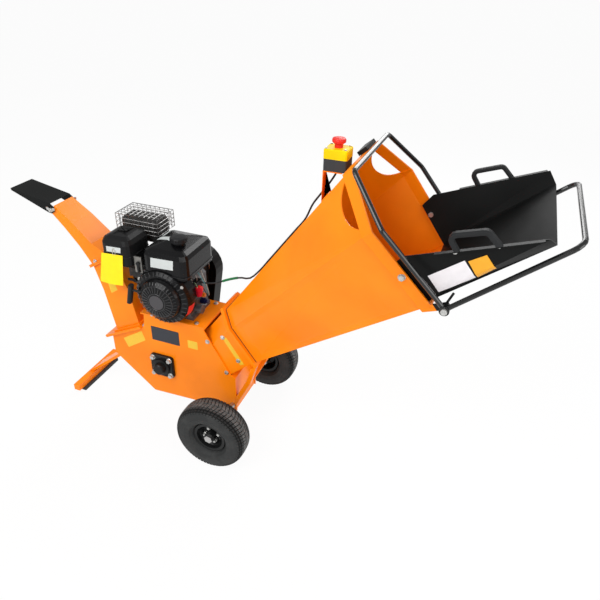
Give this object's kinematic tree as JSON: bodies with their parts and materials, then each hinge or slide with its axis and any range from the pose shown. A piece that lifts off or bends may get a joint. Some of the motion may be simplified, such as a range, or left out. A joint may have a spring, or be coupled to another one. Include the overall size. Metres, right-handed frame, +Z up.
{
  "type": "wood chipper",
  "caption": "Towable engine-driven wood chipper: drum rotor in a plate housing, folding infeed hopper with safety bar, curved discharge duct with tilting deflector.",
  "frame": {"origin": "middle of the stand pad's underside, on the ground", "axes": "+X along the machine towards the infeed hopper, +Y along the axle, +Z up"},
  "size_m": [1.8485, 0.574, 1.1465],
  "materials": {
    "air_filter_cover": "moulded",
    "anvil": "machined",
    "axle": "machined",
    "bar_switch": "satin black coating",
    "bearing_unit_far": "satin black coating",
    "bearing_unit_near": "satin black coating",
    "belt_guard": "satin black coating",
    "carburettor": "as cast",
    "choke_lever": "moulded",
    "clutch_pulley": "machined",
    "crankshaft": "machined",
    "deflector_flap": "satin black coating",
    "discharge_duct_lower": "satin orange powder coat",
    "discharge_duct_upper": "satin orange powder coat",
    "drive_belt": "matte",
    "duct_frame": "satin orange powder coat",
    "engine_block": "as cast",
    "engine_deck": "satin orange powder coat",
    "engine_switch": "moulded",
    "estop_base": "moulded",
    "estop_bracket": "satin orange powder coat",
    "estop_button": "moulded",
    "estop_lid": "moulded",
    "fan_cover": "gloss black enamel",
    "foot_bar": "satin orange powder coat",
    "foot_pad": "matte",
    "fuel_cap": "moulded",
    "fuel_tank": "gloss black enamel",
    "fuel_tap_lever": "moulded",
    "hopper_tray": "satin black coating",
    "housing_roof": "satin orange powder coat",
    "housing_side_far": "satin orange powder coat",
    "housing_side_near": "satin orange powder coat",
    "housing_wrap": "satin orange powder coat",
    "infeed_chute": "satin orange powder coat",
    "mouth_collar": "satin orange powder coat",
    "muffler": "satin black coating",
    "muffler_guard": "dull plated",
    "recoil_grip": "moulded",
    "recoil_starter": "gloss black enamel",
    "rotor_drum": "machined",
    "rotor_knife_a": "machined",
    "rotor_knife_b": "machined",
    "rotor_pulley": "as cast",
    "rotor_shaft": "machined",
    "safety_bar": "satin black coating",
    "stand_leg": "satin orange powder coat",
    "stop_cable": "matte sheath",
    "strut_far": "satin orange powder coat",
    "strut_near": "satin orange powder coat",
    "switch_box": "moulded",
    "throat_box": "satin orange powder coat",
    "throttle_lever": "moulded",
    "throttle_plate": "machined",
    "tray_handle_far": "moulded",
    "tray_handle_near": "moulded",
    "tyre_far": "matte",
    "tyre_near": "matte",
    "wheel_rim_far": "satin black coating",
    "wheel_rim_near": "satin black coating"
  },
  "bodies": {
    "frame": {"air_filter_cover": "air_filter_cover", "anvil": "anvil", "axle": "axle", "bar_switch": "bar_switch", "bearing_unit_far": "bearing_unit_far", "bearing_unit_near": "bearing_unit_near", "belt_guard": "belt_guard", "carburettor": "carburettor", "discharge_duct_lower": "discharge_duct_lower", "discharge_duct_upper": "discharge_duct_upper", "drive_belt": "drive_belt", "duct_frame": "duct_frame", "engine_block": "engine_block", "engine_deck": "engine_deck", "estop_base": "estop_base", "estop_bracket": "estop_bracket", "estop_lid": "estop_lid", "fan_cover": "fan_cover", "foot_bar": "foot_bar", "foot_pad": "foot_pad", "fuel_tank": "fuel_tank", "housing_roof": "housing_roof", "housing_side_far": "housing_side_far", "housing_side_near": "housing_side_near", "housing_wrap": "housing_wrap", "infeed_chute": "infeed_chute", "mouth_collar": "mouth_collar", "muffler": "muffler", "muffler_guard": "muffler_guard", "recoil_starter": "recoil_starter", "stand_leg": "stand_leg", "stop_cable": "stop_cable", "strut_far": "strut_far", "strut_near": "strut_near", "switch_box": "switch_box", "throat_box": "throat_box", "throttle_plate": "throttle_plate"},
    "wheel_near": {"tyre_near": "tyre_near", "wheel_rim_near": "wheel_rim_near"},
    "wheel_far": {"tyre_far": "tyre_far", "wheel_rim_far": "wheel_rim_far"},
    "tray": {"hopper_tray": "hopper_tray", "tray_handle_near": "tray_handle_near", "tray_handle_far": "tray_handle_far"},
    "safety_bar": {"safety_bar": "safety_bar"},
    "deflector": {"deflector_flap": "deflector_flap"},
    "rotor": {"rotor_shaft": "rotor_shaft", "rotor_drum": "rotor_drum", "rotor_knife_a": "rotor_knife_a", "rotor_knife_b": "rotor_knife_b", "rotor_pulley": "rotor_pulley"},
    "crank": {"crankshaft": "crankshaft", "clutch_pulley": "clutch_pulley"},
    "estop_button": {"estop_button": "estop_button"},
    "fuel_cap": {"fuel_cap": "fuel_cap"},
    "choke_lever": {"choke_lever": "choke_lever"},
    "fuel_tap_lever": {"fuel_tap_lever": "fuel_tap_lever"},
    "throttle_lever": {"throttle_lever": "throttle_lever"},
    "engine_switch": {"engine_switch": "engine_switch"},
    "recoil_grip": {"recoil_grip": "recoil_grip"}
  },
  "joints": [
    {"name": "wheel_near_spin", "type": "hinge", "parent": "frame", "child": "wheel_near", "pos_m": [0.686, -0.239, 0.13], "axis": [0, 1, 0], "continuous": true},
    {"name": "wheel_far_spin", "type": "hinge", "parent": "frame", "child": "wheel_far", "pos_m": [0.686, 0.239, 0.13], "axis": [0, 1, 0], "continuous": true},
    {"name": "rotor_spin", "type": "hinge", "parent": "frame", "child": "rotor", "pos_m": [0.4, 0, 0.234], "axis": [0, 1, 0], "continuous": true},
    {"name": "crank_spin", "type": "hinge", "parent": "frame", "child": "crank", "pos_m": [0.451, 0, 0.5589], "axis": [0, 1, 0], "continuous": true},
    {"name": "tray_fold", "type": "hinge", "parent": "frame", "child": "tray", "pos_m": [1.26822, 0, 0.87974], "axis": [0, -1, 0], "range_deg": [0, 38]},
    {"name": "safety_bar_press", "type": "hinge", "parent": "frame", "child": "safety_bar", "pos_m": [1.38674, 0, 0.81352], "axis": [0, 1, 0], "range_deg": [0, 12], "stiffness_Nm_per_rad": 60, "springref_deg": -20.05},
    {"name": "deflector_tilt", "type": "hinge", "parent": "frame", "child": "deflector", "pos_m": [-0.013, 0, 0.779], "axis": [0, -1, 0], "range_deg": [-5, 50]},
    {"name": "estop_press", "type": "slide", "parent": "frame", "child": "estop_button", "axis": [0, 0, -1], "range_m": [0, 0.006]},
    {"name": "fuel_cap_turn", "type": "hinge", "parent": "frame", "child": "fuel_cap", "pos_m": [0.491, -0.04, 0.7453], "axis": [0, 0, 1], "range_deg": [0, 90]},
    {"name": "choke_turn", "type": "hinge", "parent": "frame", "child": "choke_lever", "pos_m": [0.305, -0.0524, 0.6189], "axis": [0, -1, 0], "range_deg": [-15, 25]},
    {"name": "fuel_tap_turn", "type": "hinge", "parent": "frame", "child": "fuel_tap_lever", "pos_m": [0.305, -0.0534, 0.5649], "axis": [0, -1, 0], "range_deg": [0, 80]},
    {"name": "throttle_turn", "type": "hinge", "parent": "frame", "child": "throttle_lever", "pos_m": [0.358, -0.0954, 0.6629], "axis": [0, 1, 0], "range_deg": [0, 30]},
    {"name": "engine_switch_turn", "type": "hinge", "parent": "frame", "child": "engine_switch", "pos_m": [0.5474, -0.036, 0.5729], "axis": [1, 0, 0], "range_deg": [0, 90]},
    {"name": "recoil_pull", "type": "slide", "parent": "frame", "child": "recoil_grip", "axis": [-1, 0, 0], "range_m": [0, 0.35], "stiffness_N_per_m": 30, "springref_m": -0.2}
  ],
  "couplings": [
    {"joint": "crank_spin", "follows": "rotor_spin", "ratio": 1.8621}
  ]
}
